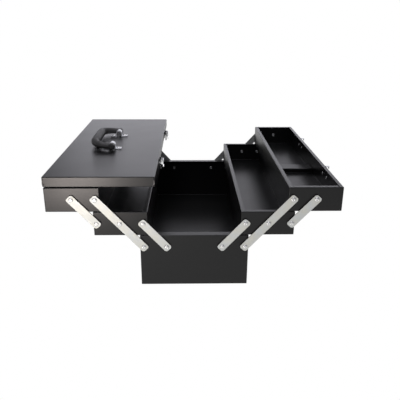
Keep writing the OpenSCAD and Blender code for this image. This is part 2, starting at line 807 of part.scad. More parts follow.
module strike_rivets() {
    color("silver") strike_places()
        translate([strike_t, 0, strike_h / 2]) rotate([0, 90, 0]) plate_rivet(strike_t + sheet_t);
}

module long_arm(side, end) {
    on_side(side) at_end(end) arm(long_pivot_x, pivot_z0, 2);
}

module inner_arm(side, end) {
    on_side(side) at_end(end) arm(inner_pivot_x, pivot_z0, 1);
}

module outer_arm(side, end) {
    on_side(side) at_end(end) arm(lower_pivots[2], pivot_z1, 1);
}

case_body();
case_rivets();
case_washers();
lower_tray();  // lower_tray_right
on_side(-1) lower_tray();  // lower_tray_left
upper_tray_right();
upper_tray_left();
pivot_rivets(lower_pivots, pivot_z1);  // lower_rivets_right
on_side(-1) pivot_rivets(lower_pivots, pivot_z1);  // lower_rivets_left
pivot_rivets(upper_pivots, pivot_z2);  // upper_rivets_right
on_side(-1) pivot_rivets(upper_pivots, pivot_z2);  // upper_rivets_left
pivot_washers(lower_pivots, pivot_z1);  // lower_washers_right
on_side(-1) pivot_washers(lower_pivots, pivot_z1);  // lower_washers_left
pivot_washers(upper_pivots, pivot_z2);  // upper_washers_right
on_side(-1) pivot_washers(upper_pivots, pivot_z2);  // upper_washers_left
long_arm(1, -1);  // long_arm_right_front
long_arm(1, 1);  // long_arm_right_back
long_arm(-1, -1);  // long_arm_left_front
long_arm(-1, 1);  // long_arm_left_back
inner_arm(1, -1);  // inner_arm_right_front
inner_arm(1, 1);  // inner_arm_right_back
inner_arm(-1, -1);  // inner_arm_left_front
inner_arm(-1, 1);  // inner_arm_left_back
outer_arm(1, -1);  // outer_arm_right_front
outer_arm(1, 1);  // outer_arm_right_back
outer_arm(-1, -1);  // outer_arm_left_front
outer_arm(-1, 1);  // outer_arm_left_back
divider();  // divider_right
on_side(-1) divider();  // divider_left
lid_pan();
hinge_leaves_lid();
hinge_leaves_tray();
hinge_pins();
hinge_rivets_lid();
hinge_rivets_tray();
handle_saddles();
saddle_rivets();
handle_core();
handle_grip();
latch_plates();
latch_rivets();
latch_pins();
latch_lever(-latch_y);  // latch_lever_front
latch_lever(latch_y);  // latch_lever_back
latch_loop(-latch_y);  // latch_loop_front
latch_loop(latch_y);  // latch_loop_back
strike_plates();
strike_rivets();
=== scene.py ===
import json
from math import cos, pi, radians, sin

import bmesh
import bpy
from bpy.props import FloatProperty, FloatVectorProperty, IntProperty, PointerProperty
from mathutils import Matrix, Vector

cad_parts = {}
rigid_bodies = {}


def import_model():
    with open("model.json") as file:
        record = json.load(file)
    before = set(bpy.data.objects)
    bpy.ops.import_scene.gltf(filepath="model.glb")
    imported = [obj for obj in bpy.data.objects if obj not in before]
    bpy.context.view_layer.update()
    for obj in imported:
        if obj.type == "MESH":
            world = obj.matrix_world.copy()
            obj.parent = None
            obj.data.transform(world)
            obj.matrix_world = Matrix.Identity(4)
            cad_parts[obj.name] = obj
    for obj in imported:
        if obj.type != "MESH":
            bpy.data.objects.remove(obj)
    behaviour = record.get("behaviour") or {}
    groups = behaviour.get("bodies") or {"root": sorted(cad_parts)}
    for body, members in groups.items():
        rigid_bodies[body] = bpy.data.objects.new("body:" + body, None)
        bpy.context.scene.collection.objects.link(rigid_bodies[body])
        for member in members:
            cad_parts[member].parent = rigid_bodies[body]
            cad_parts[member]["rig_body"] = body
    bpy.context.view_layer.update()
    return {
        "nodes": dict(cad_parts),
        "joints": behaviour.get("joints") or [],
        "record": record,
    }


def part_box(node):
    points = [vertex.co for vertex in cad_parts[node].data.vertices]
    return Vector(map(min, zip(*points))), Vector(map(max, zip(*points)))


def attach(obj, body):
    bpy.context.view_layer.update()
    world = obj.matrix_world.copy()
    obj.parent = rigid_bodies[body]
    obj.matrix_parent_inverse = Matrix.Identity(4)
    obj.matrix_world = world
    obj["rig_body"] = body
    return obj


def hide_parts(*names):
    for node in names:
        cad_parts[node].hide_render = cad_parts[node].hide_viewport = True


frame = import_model()

bl_info = {
    "name": "Cantilever Tool Box",
    "version": (1, 0, 0),
    "blender": (4, 5, 0),
    "location": "3D View > Sidebar > Tool Box",
    "description": "Finishes the folded sheet, arms, fittings and handle of a cantilever tool box",
    "category": "Object",
}

MM = 0.001
SLOTS = {part["node"]: part["material_slot"] for part in frame["record"]["subparts"]}
LATHED_RIVETS = ("case_rivets", "lower_rivets", "upper_rivets", "strike_rivets")

# Which way the arms lean on each side.
SIDES = {"right": 1, "left": -1}

# Points closer than this are one, and faces that bend by less are one.
MERGE = 0.001 * MM
LEVEL = radians(0.2)

# Edges that bend by more are rounded, save where two of them leave a corner closer together than this.
HARD = radians(35)
CROWDED = radians(25)

# Edges that bend by more stay sharp in the shading of flat and of turned pieces.
FLAT_CREASE = radians(40)
TURNED_CREASE = radians(50)

# An arm's faces that turn less than this share to the front or the back are its sheared edges. They take a
# dark tone that is painted shade for the shadow line along the arms.
CUT_EDGE_SHADE_SHARE = 0.4

# The band that holds most of a noise's values.
NOISE_LOW, NOISE_HIGH = 0.35, 0.65

# Size of the clouds in each worked metal's tone, and of the spots in its gloss and relief as shares of it.
CLOUDS = {"sheared": 2 * MM, "rivet": 3 * MM, "bright": 5 * MM, "saddle": 4 * MM, "dark": 4 * MM}
GLOSS_SHARE, PIT_SHARE = 1 / 3, 1 / 6

# Light of the panel behind the box, as a share of its brightest, by degrees above level.
PANEL_LEVELS = {0: 1.0, 6: 1.0, 11: 0.12, 16: 0.3, 21: 0.5, 27: 0.3, 36: 0.12, 50: 0.05}

# Outlines of a rivet's head and rolled tail: shares of their radius, and of their height from the end.
HEAD_PROFILE = ((0, 0.22), (0.1, 0.2), (0.15, 0.07), (0.3, 0), (0.5, 0.02), (0.68, 0.12), (0.82, 0.3),
                (0.93, 0.55), (0.985, 0.8), (1, 1))
TAIL_PROFILE = ((0.9, 1), (1, 0.82), (1, 0.6), (0.93, 0.3), (0.8, 0.08), (0.64, 0), (0.48, 0.08),
                (0.38, 0.3), (0.33, 0.6), (0.3, 1.1), (0, 1.2))

# Beads at the lid's corners, in half widths of a bead: their place in from the end and down from the
# top, their radii at the top, a third of the way down and at the tip, and their swelling in the turn.
BEAD_INSET, BEAD_DROP = 1.1, 1.6
BEAD_TOP, BEAD_THIRD, BEAD_TIP, BEAD_SWELL = 0.55, 0.8, 0.3, 0.35

# The turn at a bead's foot: its angle, and its radius as a share of the foot.
BEAD_TURN, BEAD_TURN_SHARE = radians(80), 0.7
BEAD_STEPS, BEAD_SIDES = 6, 16

# Rings of the handle from a boss to the middle of the bar, and the broken edge of a boss.
HALF_RINGS = 30
BOSS_ROUNDING = 1.2 * MM

# The disc on a boss: its radius as a share of the boss's, and its outline in shares of its own radius
# and in heights above the boss's face.
CAP_SHARE = 0.68
CAP_PROFILE = ((0, -3), (1, -3), (1, -0.5), (0.93, 0), (0.35, 0), (0.28, -0.8), (0, -0.8))

# The mould seam: how far it sinks in, as a share of its radius, and how many rings it leaves free.
SEAM_SINK, SEAM_FREE, SEAM_SIDES = 0.15, 3, 8


# Property helpers

def length(name, text, default):
    """A size in metres."""
    return FloatProperty(name=name, description=text, default=default, unit="LENGTH", precision=5)


def angle(name, text, default):
    """An angle, given in degrees and kept in radians."""
    return FloatProperty(name=name, description=text, default=radians(default), subtype="ANGLE")


def share(name, text, default):
    """A plain factor, such as a roughness."""
    return FloatProperty(name=name, description=text, default=default, subtype="FACTOR", precision=4)


def colour(name, text, default):
    """A linear colour."""
    return FloatVectorProperty(name=name, description=text, default=default, size=3,
                               subtype="COLOR", min=0, max=1)


def point(name, text, default):
    """A point in the object's frame, in metres."""
    return FloatVectorProperty(name=name, description=text, default=default, size=3,
                               subtype="TRANSLATION", unit="LENGTH")


def power(name, text, default):
    """A lamp's power in watts."""
    return FloatProperty(name=name, description=text, default=default, unit="POWER")


# Settings

class StudioSettings(bpy.types.PropertyGroup):
    """Camera, floor, backdrop and lamps"""
    camera_place: point("Camera place", "Where the camera stands", (-0.008865, -1.081193, 0.487221))
    pitch: angle("Pitch", "How far the camera looks down", 20.753)
    yaw: angle("Yaw", "How far the camera looks to the right of the box's length", 1.292)
    roll: angle("Roll", "How far the camera leans", 0.28)
    lens: FloatProperty(name="Lens", description="Focal length in millimetres", default=44.961,
                        unit="CAMERA")
    floor_size: length("Floor size", "Width of the studio floor", 14)
    floor_left: share("Floor left", "How bright the floor is for the box at the reach to the left", 1.15)
    floor_right: share("Floor right", "How bright the floor is for the box at the reach to the right", 0.67)
    floor_reach: length("Floor reach", "How far to each side the floor's light changes", 0.5)
    room_light: share("Room light", "How bright the room is all round", 0.27)
    panel_light: share("Panel light", "How bright the panel behind the box is at its brightest", 2.8)
    panel_turn: angle("Panel turn", "How far the panel's middle lies to the right", 2.5)
    panel_reach: angle("Panel reach", "How far the panel reaches to each side of its middle", 17.5)
    panel_blur: angle("Panel blur", "How softly the panel's sides end", 4)
    ceiling_light: share("Ceiling light", "How bright the ceiling is", 2.2)
    ceiling_edge: angle("Ceiling edge", "Height at which the ceiling begins", 60)
    ceiling_full: angle("Ceiling full", "Height from which the ceiling is fully bright", 70)
    softbox_place: point("Softbox place", "Middle of the low softbox at the front left",
                         (-0.365, -0.965, 0.004))
    softbox_width: length("Softbox width", "Size of the softbox from left to right", 0.16)
    softbox_depth: length("Softbox depth", "Size of the softbox from front to back", 0.27)
    softbox_power: power("Softbox power", "Power of the softbox", 9.8)
    lamp_place: point("Lamp place", "Middle of the small lamp above the camera", (-0.25, -1.1, 1.15))
    lamp_width: length("Lamp width", "Size of the small lamp", 0.2)
    lamp_power: power("Lamp power", "Power of the small lamp", 2)
    warm: colour("Warm light", "Colour of the softbox", (1.0, 0.893, 0.835))
    cool: colour("Cool light", "Colour of the room, the panel and the ceiling", (0.935, 0.93, 1.0))


class PaintSettings(bpy.types.PropertyGroup):
    """Black powder coat"""
    deep: colour("Deep", "Darkest tone of the coat", (0.0021, 0.0021, 0.0023))
    pale: colour("Pale", "Lightest tone of the coat", (0.0034, 0.0034, 0.0034))
    roughness: share("Roughness", "Roughness of the coat", 0.34)
    gloss: share("Gloss", "Strength of the coat's reflections", 0.375)
    unevenness: share("Unevenness", "How much the gloss varies from grain to grain", 0.04)
    drift: share("Drift", "How much the gloss drifts over a palm's width", 0.014)
    drift_size: length("Drift size", "Size of the coat's broad changes of gloss", 54 * MM)
    spot: length("Spot", "Size of the blotches in the coat's tone", 3.6 * MM)
    grain: length("Grain", "Size of the coat's fine grain", 0.9 * MM)
    relief: length("Relief", "Depth of the coat's fine grain", 0.012 * MM)
    bead: length("Bead", "Half width of the beads at the lid's corners", 1.5 * MM)
    bead_rise: length("Bead rise", "How far those beads stand proud", 0.35 * MM)
    bead_slope: share("Bead slope", "How steeply those beads rise towards the corner", 0.16)
    bead_length: length("Bead length", "Height of those beads", 13 * MM)
    bead_foot: length("Bead foot", "How far those beads turn in at their foot", 5 * MM)


class MetalSettings(bpy.types.PropertyGroup):
    """Plated arms, rivets and fittings"""
    zinc: colour("Zinc", "Cool tone of the plated arms", (0.65, 0.67, 0.665))
    passivated: colour("Passivated zinc", "Warm tone of the plated arms", (0.67, 0.67, 0.62))
    zinc_roughness: share("Zinc roughness", "Roughness of the plated arms", 0.62)
    zinc_drift: share("Zinc drift", "How far the arms' roughness varies either way", 0.05)
    zinc_cloud: length("Zinc cloud", "Size of the clouds in the arms' tone", 18 * MM)
    drawn: length("Drawn line", "Width of the drawn lines along the arms", 0.6 * MM)
    drawn_stretch: share("Drawn stretch", "Length of those lines, in widths", 30)
    drawn_relief: length("Drawn relief", "Depth of those lines", 0.01 * MM)
    lean: angle("Lean", "How far the arms lean from upright at rest", 42.25)
    # The arms' edge faces: their dark tone is painted shade, standing in for the shadow line along the arms.
    sheared: colour("Sheared edge", "Tone of the arms' sheared edges", (0.11, 0.095, 0.085))
    sheared_roughness: share("Sheared roughness", "Roughness of the arms' sheared edges", 0.5)
    bright: colour("Bright steel", "Tone of the hinges and levers", (0.78, 0.78, 0.79))
    bright_roughness: share("Bright roughness", "Roughness of the hinges and levers", 0.16)
    dark: colour("Dark fitting", "Tone of the latches' base plates and loops", (0.06, 0.06, 0.062))
    dark_roughness: share("Dark roughness", "Roughness of the latches' base plates and loops", 0.25)
    saddle: colour("Saddle", "Tone of the handle's saddles and the strikes", (0.88, 0.89, 0.9))
    saddle_roughness: share("Saddle roughness", "Roughness of the saddles and the strikes", 0.5)
    rivet: colour("Rivet", "Tone of the rivets", (0.74, 0.74, 0.73))
    rivet_roughness: share("Rivet roughness", "Roughness of the rivets", 0.34)
    clouding: share("Clouding", "Tone of worked metal's dark clouds, as a share of its own", 0.9)
    smoother: share("Smoother", "How far worked metal's roughness falls in places", 0.03)
    rougher: share("Rougher", "How far worked metal's roughness rises in places", 0.05)
    pitting: length("Pitting", "Depth of worked metal's unevenness", 0.0015 * MM)
    head_height: length("Head height", "Height of a pivot rivet's head", 1.9 * MM)
    tail_height: length("Tail height", "Height of a pivot rivet's rolled tail", 1.4 * MM)
    strike_head: length("Strike head", "Height of a strike rivet's head", 2 * MM)
    strike_tail: length("Strike tail", "Height of a strike rivet's rolled tail", 1 * MM)
    shank: share("Shank", "Radius of a rivet's shank, as a share of its head's radius", 0.55)
    tail_radius: share("Tail radius", "Radius of a rivet's rolled tail, as a share of its head's", 0.89)
    rivet_steps: IntProperty(name="Rivet steps", description="Sides of a turned rivet", default=40)
    edge: length("Edge", "Width of the arms' broken edges", 0.22 * MM)
    fitting_edge: length("Fitting edge", "Width of the fittings' broken edges", 0.22 / 2 * MM)
    small_edge: length("Small edge", "Width of the broken edges of washers, pins and small rivets",
                       0.22 / 3 * MM)
    sheet_edge: length("Sheet edge", "Width of the coated sheet's rounded raw edge", 0.2 * MM)


class GripSettings(bpy.types.PropertyGroup):
    """Moulded rubber grip"""
    tone: colour("Tone", "Colour of the rubber", (0.038, 0.037, 0.036))
    roughness: share("Roughness", "Roughness of the rubber", 0.55)
    clouding: share("Clouding", "Tone of the rubber's dark clouds, as a share of its own", 0.8)
    cloud: length("Cloud", "Size of those clouds", 9 * MM)
    smoother: share("Smoother", "How far the rubber's roughness falls in places", 0.06)
    rougher: share("Rougher", "How far the rubber's roughness rises in places", 0.08)
    grain: length("Grain", "Size of the rubber's grain", 0.5 * MM)
    relief: length("Relief", "Depth of the rubber's grain", 0.02 * MM)
    reach: length("Reach", "Distance from the handle's axis to the middle of its grip", 38 * MM)
    lift: angle("Lift", "Angle by which the handle stands off level", 6)
    middle_radius: length("Middle radius", "Radius of the grip at its middle", 9.3 * MM)
    arm_radius: length("Arm radius", "Radius of the handle's arms at the bosses", 6 * MM)
    bend_radius: length("Bend radius", "Radius of the handle's corners, on its middle line", 30 * MM)
    swell: share("Swell", "Share of the handle's half length over which it swells", 0.75)
    boss_radius: length("Boss radius", "Radius of the round bosses", 6.9 * MM)
    boss_inside: length("Boss inside", "Distance of a boss's inner face from the middle", 63.1 * MM)
    boss_thickness: length("Boss thickness", "Thickness of the round bosses", 12.5 * MM)
    cap: length("Cap", "How far the disc on a boss stands proud", 0.35 * MM)
    seam: length("Seam", "Radius of the raised mould seam", 0.35 * MM)
    voxel: length("Voxel", "Size of the blocks that blend arms and bosses", 0.55 * MM)
    blend: share("Blend", "Strength of each smoothing of the blended skin", 0.5)
    blend_steps: IntProperty(name="Blend steps", description="How often that skin is smoothed", default=6)
    sides: IntProperty(name="Sides", description="Sides of the grip's rings", default=48)


# Materials

class Finish:
    """A material's node tree, with short calls for the nodes that the finishes share."""

    def __init__(self, name, base, metallic, roughness):
        self.material = bpy.data.materials.new(name)
        self.material.use_nodes = True
        self.tree = self.material.node_tree
        self.shader = self.tree.nodes["Principled BSDF"]
        self.shader.inputs["Base Color"].default_value = (*base, 1)
        self.shader.inputs["Metallic"].default_value = metallic
        self.shader.inputs["Roughness"].default_value = roughness
        self.coords = self.tree.nodes.new("ShaderNodeTexCoord").outputs["Object"]

    def stretched(self, scale, turn):
        """Coordinates turned about Y by an angle and then stretched."""
        node = self.tree.nodes.new("ShaderNodeMapping")
        node.vector_type = "TEXTURE"
        node.inputs["Rotation"].default_value = (0, turn, 0)
        node.inputs["Scale"].default_value = scale
        self.tree.links.new(self.coords, node.inputs["Vector"])
        return node.outputs["Vector"]

    def noise(self, size, detail=2, coords=None):
        """Soft blotches about size across, with detail layers of finer ones."""
        node = self.tree.nodes.new("ShaderNodeTexNoise")
        node.inputs["Scale"].default_value = 1 / size
        node.inputs["Detail"].default_value = detail
        self.tree.links.new(coords or self.coords, node.inputs["Vector"])
        return node.outputs["Fac"]

    def spread(self, value, low, high):
        """Maps the band that holds most of a noise's values onto low to high."""
        node = self.tree.nodes.new("ShaderNodeMapRange")
        node.inputs["From Min"].default_value = NOISE_LOW
        node.inputs["From Max"].default_value = NOISE_HIGH
        node.inputs["To Min"].default_value = low
        node.inputs["To Max"].default_value = high
        self.tree.links.new(value, node.inputs["Value"])
        return node.outputs["Result"]

    def total(self, first, second):
        """The sum of two values."""
        node = self.tree.nodes.new("ShaderNodeMath")
        self.tree.links.new(first, node.inputs[0])
        self.tree.links.new(second, node.inputs[1])
        return node.outputs["Value"]

    def colour_between(self, value, low, high):
        """Base colour that runs between two tones."""
        node = self.tree.nodes.new("ShaderNodeMix")
        node.data_type = "RGBA"
        node.inputs["A"].default_value = (*low, 1)
        node.inputs["B"].default_value = (*high, 1)
        self.tree.links.new(value, node.inputs["Factor"])
        self.tree.links.new(node.outputs["Result"], self.shader.inputs["Base Color"])

    def rough_from(self, value):
        """Roughness that follows a value."""
        self.tree.links.new(value, self.shader.inputs["Roughness"])

    def bump_from(self, value, depth):
        """Relief of the given depth."""
        node = self.tree.nodes.new("ShaderNodeBump")
        node.inputs["Strength"].default_value = 1
        node.inputs["Distance"].default_value = depth
        self.tree.links.new(value, node.inputs["Height"])
        self.tree.links.new(node.outputs["Normal"], self.shader.inputs["Normal"])


def powder_coat(name, paint):
    """Satin black powder coat: fine grain, soft changes of tone and gloss."""
    finish = Finish(name, paint.deep, 0, paint.roughness)
    grain = finish.noise(paint.grain, detail=3)
    drift = finish.noise(paint.drift_size, detail=3)
    finish.colour_between(finish.spread(finish.noise(paint.spot), 0, 1), paint.deep, paint.pale)
    fine = finish.spread(grain, -paint.unevenness / 2, paint.unevenness / 2)
    broad = finish.spread(drift, paint.roughness - paint.drift / 2, paint.roughness + paint.drift / 2)
    finish.rough_from(finish.total(fine, broad))
    finish.bump_from(grain, paint.relief)
    finish.shader.inputs["Specular IOR Level"].default_value = paint.gloss
    return finish.material


def plated_bar(name, metal, lean):
    """Bright zinc plate over bar stock that was drawn along its length."""
    finish = Finish(name, metal.zinc, 1, metal.zinc_roughness)
    along = finish.stretched((1, 1, metal.drawn_stretch), lean)
    drawn = finish.noise(metal.drawn, detail=3, coords=along)
    cloud = finish.noise(metal.zinc_cloud, detail=3)
    finish.colour_between(finish.spread(cloud, 0, 1), metal.zinc, metal.passivated)
    smooth, rough = metal.zinc_roughness - metal.zinc_drift, metal.zinc_roughness + metal.zinc_drift
    finish.rough_from(finish.spread(drawn, smooth, rough))
    finish.bump_from(drawn, metal.drawn_relief)
    return finish.material


def worked_metal(name, metal, kind):
    """Plated steel of a kind that the settings name, with soft clouds in tone and gloss."""
    tone, roughness, cloud = getattr(metal, kind), getattr(metal, kind + "_roughness"), CLOUDS[kind]
    finish = Finish(name, tone, 1, roughness)
    dim = [metal.clouding * part for part in tone]
    finish.colour_between(finish.spread(finish.noise(cloud), 0, 1), dim, tone)
    gloss = finish.noise(GLOSS_SHARE * cloud, detail=3)
    finish.rough_from(finish.spread(gloss, roughness - metal.smoother, roughness + metal.rougher))
    finish.bump_from(finish.noise(PIT_SHARE * cloud), metal.pitting)
    return finish.material


def moulded_rubber(name, grip):
    """Matt black rubber with a fine spark-eroded grain."""
    finish = Finish(name, grip.tone, 0, grip.roughness)
    grain = finish.noise(grip.grain, detail=3)
    dim = [grip.clouding * part for part in grip.tone]
    finish.colour_between(finish.spread(finish.noise(grip.cloud, detail=3), 0, 1), dim, grip.tone)
    finish.rough_from(finish.spread(grain, grip.roughness - grip.smoother, grip.roughness + grip.rougher))
    finish.bump_from(grain, grip.relief)
    return finish.material


def finish_of(name, make, *values):
    """The named material, made on first use."""
    return bpy.data.materials.get(name) or make(name, *values)


# Mesh helpers

def carry(piece, node, material):
    """Gives a piece its material and the body of a CAD node."""
    piece.data.materials.clear()
    piece.data.materials.append(material)
    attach(piece, frame["nodes"][node]["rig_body"])


def dress(piece, node, material):
    """Lets a piece stand for a CAD node."""
    carry(piece, node, material)
    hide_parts(node)


def new_piece(name, bm):
    """Turns a bmesh into a smooth-shaded object at the origin."""
    mesh = bpy.data.meshes.new(name)
    bm.to_mesh(mesh)
    bm.free()
    piece = bpy.data.objects.new(name, mesh)
    bpy.context.scene.collection.objects.link(piece)
    for face in mesh.polygons:
        face.use_smooth = True
    return piece


def add_modifier(piece, kind, **values):
    """Adds a modifier and sets its values."""
    modifier = piece.modifiers.new(kind.lower(), kind)
    for key, value in values.items():
        setattr(modifier, key, value)


def flat_shading(piece):
    """Keeps flat faces flat beside narrow rounded edges."""
    add_modifier(piece, "WEIGHTED_NORMAL", keep_sharp=True, weight=100)
    piece.data.set_sharp_from_angle(angle=FLAT_CREASE)


def merged(node):
    """A copy of a CAD node's mesh with its loose triangles joined."""
    bm = bmesh.new()
    bm.from_mesh(frame["nodes"][node].data)
    bmesh.ops.remove_doubles(bm, verts=bm.verts, dist=MERGE)
    return bm


def is_crowded(edge, hard):
    """Whether another hard edge leaves one of an edge's ends in nearly the same direction."""
    for corner in edge.verts:
        way = edge.other_vert(corner).co - corner.co
        for other in corner.link_edges:
            if other is not edge and other in hard:
                if way.angle(other.other_vert(corner).co - corner.co) < CROWDED:
                    return True
    return False


def softened(node, edge, segments=2):
    """A copy of a CAD node with its hard edges rounded."""
    bm = merged(node)
    bmesh.ops.dissolve_limit(bm, angle_limit=LEVEL, verts=bm.verts, edges=bm.edges)
    hard = {e for e in bm.edges if e.is_manifold and e.calc_face_angle() > HARD}
    rounded = [e for e in bm.edges if e in hard and not is_crowded(e, hard)]
    bmesh.ops.bevel(bm, geom=rounded, offset=edge, offset_type="OFFSET", affect="EDGES",
                    segments=segments, profile=0.5, material=-1, clamp_overlap=False)
    return new_piece(node + "_finished", bm)


def islands(node):
    """Lowest and highest corner of each separate solid of a CAD node, sorted by the lowest."""
    bm = merged(node)
    waiting = set(bm.verts)
    corners = []
    while waiting:
        solid, reached = set(), {waiting.pop()}
        while reached:
            solid |= reached
            reached = {link.other_vert(v) for v in reached for link in v.link_edges} - solid
        waiting -= solid
        corners.append([Vector(pick(v.co[axis] for v in solid) for axis in range(3))
                        for pick in (min, max)])
    bm.free()
    return sorted(corners, key=lambda pair: tuple(pair[0]))


def lathe(bm, middle, profile, steps, way=Vector((0, 1, 0))):
    """Spins an outline of radius and place along a way about the line through middle."""
    points = [bm.verts.new(middle + Vector((0, 0, radius)) + way * along) for radius, along in profile]
    line = [bm.edges.new(pair) for pair in zip(points, points[1:])]
    bmesh.ops.spin(bm, geom=points + line, cent=middle, axis=way, dvec=(0, 0, 0),
                   angle=2 * pi, steps=steps, use_merge=True)


def closed(bm):
    """Closes the poles of lathed shapes and turns every face outwards."""
    bmesh.ops.remove_doubles(bm, verts=bm.verts, dist=MERGE)
    bmesh.ops.recalc_face_normals(bm, faces=bm.faces)


def tube(bm, stations, sides, place=Matrix.Identity(4)):
    """A closed tube of round rings; each station is a middle, a direction and a radius."""
    rings = []
    for middle, way, radius in stations:
        across = way.to_track_quat("Z", "Y").to_matrix().to_4x4()
        matrix = place @ Matrix.Translation(middle) @ across
        ring = bmesh.ops.create_circle(bm, segments=sides, radius=radius, matrix=matrix)["verts"]
        rings.append(list(dict.fromkeys(edge for v in ring for edge in v.link_edges)))
    for first, second in zip(rings, rings[1:]):
        bmesh.ops.bridge_loops(bm, edges=first + second)
    for end in (rings[0], rings[-1]):
        bmesh.ops.edgeloop_fill(bm, edges=end)
    bmesh.ops.recalc_face_normals(bm, faces=bm.faces)


def smooth_step(part):
    """Runs from 0 to 1 with level ends."""
    part = min(1, part)
    return part * part * (3 - 2 * part)


class PieceOperator:
    """What the operators share."""
    bl_options = {"REGISTER", "UNDO"}


class TOOLBOX_OT_sheet(PieceOperator, bpy.types.Operator):
    """Finish the case, the trays, the lid and the dividers in black powder coat"""
    bl_idname = "toolbox.sheet"
    bl_label = "Folded sheet"

    def execute(self, context):
        paint = context.scene.toolbox_paint
        metal = context.scene.toolbox_metal
        coat = finish_of("powder_coat", powder_coat, paint)
        for node in [n for n, slot in SLOTS.items() if slot in ("body_paint", "divider_paint")]:
            piece = softened(node, metal.sheet_edge)
            flat_shading(piece)
            dress(piece, node, coat)
        carry(self.corner_beads(paint), "lid_pan", coat)
        return {"FINISHED"}

    def corner_beads(self, paint):
        """Folded-over ends of the front and back flanges, pressed flat and risen towards the corner."""
        low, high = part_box("lid_pan")
        bm = bmesh.new()
        for x, inward in ((low.x, 1), (high.x, -1)):
            start = Vector((x + inward * BEAD_INSET * paint.bead, 0, high.z - BEAD_DROP * paint.bead))
            stations = self.bead_line(paint, start, inward)
            for y, outward in ((low.y, -1), (high.y, 1)):
                pressed = Matrix.Diagonal((1, paint.bead_rise / paint.bead, 1, 1))
                pressed[1][0] = -inward * outward * paint.bead_slope
                place = Matrix.Translation((start.x, y, 0)) @ pressed @ Matrix.Translation((-start.x, 0, 0))
                tube(bm, stations, BEAD_SIDES, place)
        return new_piece("lid_corner_beads", bm)

    def bead_line(self, paint, start, inward):
        """Places, directions and radii down a bead and round its turned-in foot."""
        turn_radius = paint.bead_foot * BEAD_TURN_SHARE
        middle = start + Vector((inward * turn_radius, 0, turn_radius - paint.bead_length))
        down = Vector((0, 0, -1))
        stations = [(start, down, BEAD_TOP * paint.bead),
                    (start + down * paint.bead_length / 3, down, BEAD_THIRD * paint.bead)]
        for step in range(BEAD_STEPS + 1):
            turned = step / BEAD_STEPS * BEAD_TURN
            way = Vector((inward * sin(turned), 0, -cos(turned)))
            at = middle + turn_radius * Vector((-inward * cos(turned), 0, -sin(turned)))
            stations.append((at, way, paint.bead * (1 + BEAD_SWELL * sin(pi * step / BEAD_STEPS))))
        at, way, _ = stations[-1]
        return stations + [(at + way * (paint.bead_foot - turn_radius), way, BEAD_TIP * paint.bead)]


class TOOLBOX_OT_arms(PieceOperator, bpy.types.Operator):
    """Finish the twelve flat arms in bright zinc plate"""
    bl_idname = "toolbox.arms"
    bl_label = "Arms"

    def execute(self, context):
        metal = context.scene.toolbox_metal
        # Dark finish for the arms' edge faces: painted shade along their edges.
        sheared = finish_of("sheared_edge", worked_metal, metal, "sheared")
        for side, way in SIDES.items():
            plate = finish_of("plated_bar_" + side, plated_bar, metal, way * metal.lean)
            for node in [n for n in SLOTS if "_arm_" + side in n]:
                piece = softened(node, metal.edge, segments=3)
                flat_shading(piece)
                dress(piece, node, plate)
                # Faces that turn away from the front and the back, the arms' edges, take the dark
                # painted-shade finish.
                piece.data.materials.append(sheared)
                for face in piece.data.polygons:
                    face.material_index = int(abs(face.normal.y) < CUT_EDGE_SHADE_SHARE)
        return {"FINISHED"}


class TOOLBOX_OT_rivets(PieceOperator, bpy.types.Operator):
    """Finish the rivets and washers"""
    bl_idname = "toolbox.rivets"
    bl_label = "Rivets and washers"

    def execute(self, context):
        metal = context.scene.toolbox_metal
        steel = finish_of("turned_steel", worked_metal, metal, "rivet")
        for node in [n for n, slot in SLOTS.items() if slot in ("rivet_steel", "washer_steel")]:
            if node.startswith(LATHED_RIVETS):
                piece = self.turned_rivets(node, metal)
            else:
                piece = softened(node, metal.small_edge, segments=1)
                flat_shading(piece)
            dress(piece, node, steel)
        return {"FINISHED"}

    def turned_rivets(self, node, metal):
        """Pan head with a small dimple outside, shank, and rolled tail inside the wall."""
        bm = bmesh.new()
        for low, high in islands(node):
            middle, size = (low + high) / 2, high - low
            axis, head, tail = 1, metal.head_height, metal.tail_height
            if node == "strike_rivets":
                axis, head, tail = 0, metal.strike_head, metal.strike_tail
            inward = Vector((0, 0, 0))
            inward[axis] = -1 if middle[axis] > 0 else 1
            radius, half = size.z / 2, size[axis] / 2
            profile = [(part * radius, depth * head - half) for part, depth in HEAD_PROFILE]
            profile += [(metal.shank * radius, head - half), (metal.shank * radius, half - tail)]
            profile += [(part * metal.tail_radius * radius, half - depth * tail)
                        for part, depth in TAIL_PROFILE]
            lathe(bm, middle, profile, metal.rivet_steps, inward)
        closed(bm)
        piece = new_piece(node + "_turned", bm)
        piece.data.set_sharp_from_angle(angle=TURNED_CREASE)
        return piece


class TOOLBOX_OT_fittings(PieceOperator, bpy.types.Operator):
    """Finish the hinges, brackets, latches and strikes"""
    bl_idname = "toolbox.fittings"
    bl_label = "Hinges, brackets and latches"

    def execute(self, context):
        metal = context.scene.toolbox_metal
        bright = finish_of("polished_steel", worked_metal, metal, "bright")
        plated = finish_of("plated_saddle", worked_metal, metal, "saddle")
        dark = finish_of("dark_fitting", worked_metal, metal, "dark")
        finishes = {"handle_saddles": plated, "strike_plates": plated, "latch_plates": dark,
                    "latch_loop_front": dark, "latch_loop_back": dark}
        for node in [n for n, slot in SLOTS.items() if slot in ("hinge_zinc", "bright_steel", "core_steel")]:
            piece = softened(node, metal.fitting_edge)
            flat_shading(piece)
            dress(piece, node, finishes.get(node, bright))
        return {"FINISHED"}


